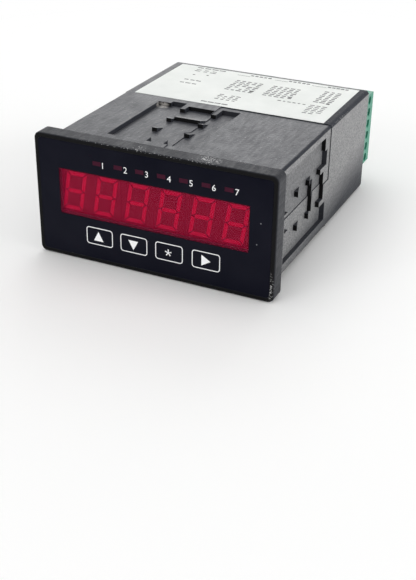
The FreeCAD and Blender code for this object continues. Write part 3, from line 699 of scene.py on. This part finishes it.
def board_finish():
    """Green solder mask with copper tracks showing through."""
    finish, tree, shader, place = new_finish("solder_mask", 0.35)
    tracks = put(tree, "ShaderNodeTexBrick", {
        "Vector": place, "Scale": 210.0, "Mortar Size": 0.08, "Color1": (0, 0, 0, 1), "Color2": (0, 0, 0, 1),
        "Mortar": (1, 1, 1, 1)})
    patches = spread(tree, speckle(tree, place, 130, 1.0), 0.48, 0.52)
    lines = times(tree, tracks.outputs["Fac"], patches)
    color = tinted(tree, lines, mask_green, track_green)
    tree.links.new(color, shader.inputs["Base Color"])
    tree.links.new(relief(tree, lines, 0.02 * MM), shader.inputs["Normal"])
    return finish


def metal_finish(name, color, roughness):
    """Plated metal with faint stains."""
    finish, tree, shader, place = new_finish(name, roughness)
    stains = speckle(tree, place, 500, 4.0)
    dull = tuple(0.72 * c for c in color[:3]) + (1,)
    tree.links.new(tinted(tree, stains, dull, color), shader.inputs["Base Color"])
    uneven = spread(tree, stains, 0.3, 0.7, roughness * 0.8, roughness * 1.3)
    tree.links.new(uneven, shader.inputs["Roughness"])
    shader.inputs["Metallic"].default_value = 1.0
    return finish


slots = "abcd"
boards = ["display_board", "processor_board"] + ["card_board_" + s for s in slots]
stems = ["key_stem_" + k for k in ("up", "down", "star", "right")]
black = moulded_finish("black_parts", (0.02, 0.02, 0.022, 1), 0.4)
tinned = metal_finish("tinned_brass", (0.72, 0.68, 0.56, 1), 0.3)
dress(board_finish(), *boards)
dress(black, "key_switch_bodies", "stack_connectors", "processor_chip", "card_sockets", "input_components")
dress(tinned, "fuse_clips", *["header_pins_" + s for s in slots], *["plug_clamps_" + s for s in slots])
dress(moulded_finish("led_resin", (0.75, 0.7, 0.58, 1), 0.3), "indicator_leds")
dress(moulded_finish("stem_plastic", (0.07, 0.07, 0.075, 1)), *stems)
dress(moulded_finish("relay_plastic", (0.03, 0.05, 0.2, 1), 0.35), "relays_b", "relays_c")
dress(metal_finish("core_steel", (0.3, 0.3, 0.31, 1), 0.5), "transformer_core")
dress(moulded_finish("winding_tape", (0.62, 0.42, 0.05, 1), 0.35), "transformer_coil")
dress(moulded_finish("can_sleeve", (0.015, 0.02, 0.06, 1), 0.3), "filter_capacitors")
dress(acrylic_finish("fuse_glass", (0.8, 0.86, 0.84, 1), 0.45, 0.1), "fuse")

# Terminals. Each card has a green header in the rear panel, and a plug of the same green pushes onto it. Its
# slotted clamp screws stand in round wells on the right side, over steel cages behind the wire entries.
terminal_green = (0.036, 0.28, 0.18, 1)
plug_edge = 0.15 * MM
clamp_rim = 0.2 * MM
clamp_slot = (6 * MM, 0.55 * MM, 1.6 * MM)
clamp_spin = (1.4, 0, 0)
green_plastic = moulded_finish("green_plastic", terminal_green, 0.42, grain=1100, varied=0.14)
dress(green_plastic, *["terminal_header_" + s for s in slots])
for s in slots:
    softened("plug_body_" + s, "terminal_plug_" + s, plug_edge, green_plastic, "plug_" + s)
    boxes = solid_boxes("plug_screws_" + s)
    low, high = boxes[0]
    points = [((a.x + b.x) / 2 - clamp_rim / 2, (a.y + b.y) / 2, (a.z + b.z) / 2) for a, b in boxes]
    piece = grown("clamp_screws_" + s, screw_tree, points, {
        "Radius": (high.y - low.y) / 2, "Height": high.x - low.x - clamp_rim, "Rim": clamp_rim,
        "Slot": clamp_slot, "Facing": (0, math.pi / 2, 0), "Spin": clamp_spin})
    settle(piece, "plug_" + s)
    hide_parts("plug_screws_" + s)

# Wiring label. A satin paper label on the sleeve's top, printed in grey and read from the rear. The tables of
# the terminals are drawn as rows of short bars.
label_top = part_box("wiring_label")[1].z
print_level = label_top + print_depth / 2
paper_dull = (0.69, 0.715, 0.69, 1)
paper_bright = (0.78, 0.80, 0.775, 1)
label_grey = (0.06, 0.06, 0.065, 1)


def label_finish():
    """Satin white paper, slightly uneven in tone and lie."""
    finish, tree, shader, place = new_finish("label_paper", 0.5, 0.35)
    shade = spread(tree, speckle(tree, place, 70, 4.0), 0.3, 0.7)
    color = tinted(tree, shade, paper_dull, paper_bright)
    tree.links.new(color, shader.inputs["Base Color"])
    tree.links.new(relief(tree, speckle(tree, place, 120, 2.0), 0.03 * MM), shader.inputs["Normal"])
    return finish


def print_row_tree(finish):
    """Rows of short bars, as long as words, on a grid about each point."""
    tree, given = new_tree("print_rows", {"Size": "Vector", "Rows": "Int", "Columns": "Int", "Bar": "Vector",
                                          "Shortest": "Float", "Kept": "Float", "Seed": "Int"})
    size = put(tree, "ShaderNodeSeparateXYZ", {"Vector": given["Size"]})
    grid = put(tree, "GeometryNodeMeshGrid", {
        "Size X": size.outputs["X"], "Size Y": size.outputs["Y"], "Vertices X": given["Columns"],
        "Vertices Y": given["Rows"]})
    bar = put(tree, "GeometryNodeMeshCube", {"Size": given["Bar"]})
    length = put(tree, "FunctionNodeRandomValue", {2: given["Shortest"], 3: 1.0, "Seed": given["Seed"]})
    scale = put(tree, "ShaderNodeCombineXYZ", {"X": length.outputs[1], "Y": 1.0, "Z": 1.0})
    kept = put(tree, "FunctionNodeRandomValue", {"Probability": given["Kept"], "Seed": given["Seed"]},
               data_type="BOOLEAN")
    bars = put(tree, "GeometryNodeInstanceOnPoints", {
        "Points": grid.outputs["Mesh"], "Selection": kept.outputs[3], "Instance": bar.outputs["Mesh"],
        "Scale": scale.outputs[0]})
    placed = put(tree, "GeometryNodeInstanceOnPoints", {
        "Points": given["Geometry"], "Instance": bars.outputs[0]})
    end_tree(tree, placed.outputs[0], finish)
    return tree


dress(label_finish(), "wiring_label")
grey_ink = ink_finish("grey_ink", label_grey)
rows_tree = print_row_tree(grey_ink)
# Each block: middle x and y, width and depth, columns, rows, bar length and thickness in mm, then the
# shortest bar as a share of its length, and the share kept
blocks = {
    "heading_a": (32.6, 98.2, 7.6, 0, 5, 1, 1.5, 1.2, 0.8, 1.0),
    "heading_b": (15.4, 98.2, 8.0, 0, 5, 1, 1.6, 1.2, 0.8, 1.0),
    "heading_c": (-1.9, 98.0, 8.0, 0, 5, 1, 1.6, 1.2, 0.8, 1.0),
    "heading_d": (-25.3, 98.2, 10.5, 0, 4, 1, 2.9, 0.9, 0.8, 1.0),
    "table_a": (32.6, 84.9, 5.4, 14.0, 3, 8, 2.4, 0.95, 0.5, 0.97),
    "table_b": (13.4, 82.8, 10.4, 12.6, 5, 7, 2.3, 0.95, 0.5, 0.97),
    "table_c": (-3.4, 82.8, 10.4, 12.6, 5, 7, 2.3, 0.95, 0.5, 0.97),
    "lines_d": (-26.3, 94.4, 7.4, 1.8, 3, 2, 2.8, 0.7, 0.6, 1.0),
    "lines_e": (-26.3, 78.6, 5.6, 4.4, 3, 2, 2.3, 0.8, 0.7, 1.0),
    "notes": (-3.6, 66.3, 7.4, 5.6, 4, 4, 2.2, 0.75, 0.5, 0.97),
    "foot": (-5.8, 58.2, 9.0, 0, 4, 1, 2.8, 0.9, 0.8, 1.0),
    "table_e": (32.9, 68.4, 5.2, 9.6, 3, 6, 2.2, 0.75, 0.5, 0.95),
    "scale": (21.6, 72.8, 10.6, 0, 6, 1, 1.7, 0.8, 0.5, 1.0),
}
for seed, (title, values) in enumerate(blocks.items()):
    x, y, width, depth, columns, rows, length, thick, shortest, kept = values
    piece = grown("label_" + title, rows_tree, [(x * MM, y * MM, print_level)], {
        "Size": (width * MM, depth * MM, 0), "Rows": rows, "Columns": columns, "Shortest": shortest,
        "Kept": kept, "Bar": (length * MM, thick * MM, print_depth), "Seed": seed})
    settle(piece, "meter")
# Middle, width and depth in mm of the rules under the headings and of the small squares
rule_boxes = (
    (24.6, 97.2, 6.4, 0.3), (7.7, 97.1, 5.8, 0.3), (-9.3, 96.4, 5.8, 0.3),
    (35.3, 77.4, 1.5, 1.4), (1.9, 78.1, 1.5, 1.4), (19.0, 77.2, 1.5, 1.4),
    (-29.1, 88.1, 1.0, 0.9), (-23.3, 89.6, 1.0, 0.9))
rules = []
for x, y, width, depth in rule_boxes:
    loop = [(u * width * MM / 2, v * depth * MM / 2) for u, v in ((-1, -1), (1, -1), (1, 1), (-1, 1))]
    placing = Matrix.Translation((x * MM, y * MM, print_level))
    rules.append((outline_mesh([loop], print_depth), placing))
settle(gathered("label_rules", rules, grey_ink), "meter")

# Floor, light and camera. A pale floor that turns white away from the meter, touched by the bezel's lower
# edge and the sleeve's rear end, a bright room behind and above, and a darker one in front.
floor_white = (0.96, 0.96, 0.955, 1)
pure_white = (1, 1, 1, 1)
floor_middle = (0, 0.05, 0)
floor_drop = 24.02 * MM
# Height of the sleeve's rear end over the bezel's lower edge, and its distance from there, in mm
rear_lift = 2.5
rear_reach = 102.0
# Middle and half width, each way, of the part of the floor that reflections show dark: a painted contact
# shadow
footprint_x = (0.0, 0.048)
footprint_y = (0.052, 0.059)
footprint_fade = 0.018


def beyond(tree, place, axis, middle, half_width):
    """0 over the footprint, growing to 1 beside it."""
    away = total(tree, axis_value(tree, place, axis), -middle)
    away = put(tree, "ShaderNodeMath", {0: away}, operation="ABSOLUTE").outputs["Value"]
    return spread(tree, away, half_width, half_width + footprint_fade)


def floor_finish():
    """Pale matt floor that fades to plain white, and that reflections show as plain white beside the meter,
    with a painted contact shadow over its footprint and dimmer towards the front.
    """
    finish, tree, shader, place = new_finish("floor", 0.9, 0.2)
    shader.inputs["Base Color"].default_value = floor_white
    away = put(tree, "ShaderNodeVectorMath", {0: place, 1: floor_middle}, operation="DISTANCE")
    fade = spread(tree, away.outputs["Value"], 0.12, 0.32)
    rays = put(tree, "ShaderNodeLightPath").outputs
    white = put(tree, "ShaderNodeEmission", {"Color": pure_white, "Strength": 1.0})
    mixed = put(tree, "ShaderNodeMixShader", {
        0: times(tree, fade, rays["Is Camera Ray"]), 1: shader.outputs[0], 2: white.outputs[0]})
    # Painted reflection: mirrored rays see the floor as plain white, dark over the meter's footprint as a
    # painted contact shadow, and dimmer towards the front
    outside = larger(tree, beyond(tree, place, "X", *footprint_x), beyond(tree, place, "Y", *footprint_y))
    bright = times(tree, outside, spread(tree, axis_value(tree, place, "Y"), -0.15, 0.03, 0.15, 1.0))
    mirrored = put(tree, "ShaderNodeEmission", {"Color": pure_white, "Strength": bright})
    mixed = put(tree, "ShaderNodeMixShader", {
        0: rays["Is Glossy Ray"], 1: mixed.outputs[0], 2: mirrored.outputs[0]})
    tree.links.new(mixed.outputs[0], tree.nodes["Material Output"].inputs["Surface"])
    return finish


floor_mesh = bpy.data.meshes.new("floor")
floor_corners = [(-4, -4, 0), (4, -4, 0), (4, 4, 0), (-4, 4, 0)]
floor_mesh.from_pydata(floor_corners, [], [(0, 1, 2, 3)])
floor_mesh.materials.append(floor_finish())
floor = bpy.data.objects.new("floor", floor_mesh)
bpy.context.scene.collection.objects.link(floor)
floor_tilt = math.atan2(rear_lift, rear_reach)
floor.matrix_world = Matrix.Translation((0, 0, -floor_drop)) @ Matrix.Rotation(floor_tilt, 4, "X")

# Brightness of the room for rays other than mirrored and camera ones
room_level = 0.6
world = bpy.data.worlds.new("studio")
bpy.context.scene.world = world
world.use_nodes = True
sky = world.node_tree
heading = put(sky, "ShaderNodeTexCoord").outputs["Generated"]
behind = spread(sky, axis_value(sky, heading, "Y"), -0.6, 0.3, 0.12, 1.0)
left_side = spread(sky, axis_value(sky, heading, "X"), -0.3, 0.1, 1.0, 0.12)
low_down = spread(sky, axis_value(sky, heading, "Z"), 0.0, 0.3, 1.0, 0.0)
rays = put(sky, "ShaderNodeLightPath").outputs
mirrored = larger(sky, rays["Is Glossy Ray"], rays["Is Transmission Ray"])
reflected = times(sky, mirrored, times(sky, behind, larger(sky, left_side, low_down)))
sharp = larger(sky, mirrored, rays["Is Camera Ray"])
soft = spread(sky, sharp, 0.0, 1.0, room_level, 0.0)
level = larger(sky, larger(sky, reflected, rays["Is Camera Ray"]), soft)
background = sky.nodes["Background"]
background.inputs["Color"].default_value = pure_white
sky.links.new(level, background.inputs["Strength"])


def softbox(name, spot, target, size, power):
    """Square soft light at a spot, turned to a target."""
    light = bpy.data.lights.new(name, "AREA")
    light.shape = "SQUARE"
    light.size = size
    light.energy = power
    lamp = bpy.data.objects.new(name, light)
    bpy.context.scene.collection.objects.link(lamp)
    aim = Vector(target) - Vector(spot)
    lamp.matrix_world = Matrix.Translation(spot) @ aim.to_track_quat("-Z", "Y").to_matrix().to_4x4()


softbox("key_light", (-0.30, 0.15, 0.95), (0, 0.05, 0), 0.7, 1.6)
softbox("rear_light", (-0.24, 0.97, 0.60), (0, 0.03, 0), 0.8, 3.5)
softbox("side_light", (0.95, 0.15, 0.30), (0, 0.04, 0), 0.6, 4.0)
softbox("front_fill", (-0.4, -0.95, 0.35), (0, 0, 0), 0.6, 3.6)

camera = bpy.data.objects.new("camera", bpy.data.cameras.new("camera"))
bpy.context.scene.collection.objects.link(camera)
camera.data.lens = 65.3
camera.data.clip_start = 0.01
camera_spot = (0.1612, -0.3093, 0.1578)
ahead = Vector((-0.3652, 0.7971, -0.4808)).normalized()
up = Vector((-0.2146, 0.4305, 0.8767)).normalized()
right = ahead.cross(up).normalized()
turn = Matrix((right, right.cross(ahead), -ahead)).transposed().to_4x4()
camera.matrix_world = Matrix.Translation(camera_spot) @ turn
bpy.context.scene.camera = camera
bpy.context.scene.view_settings.view_transform = "Standard"
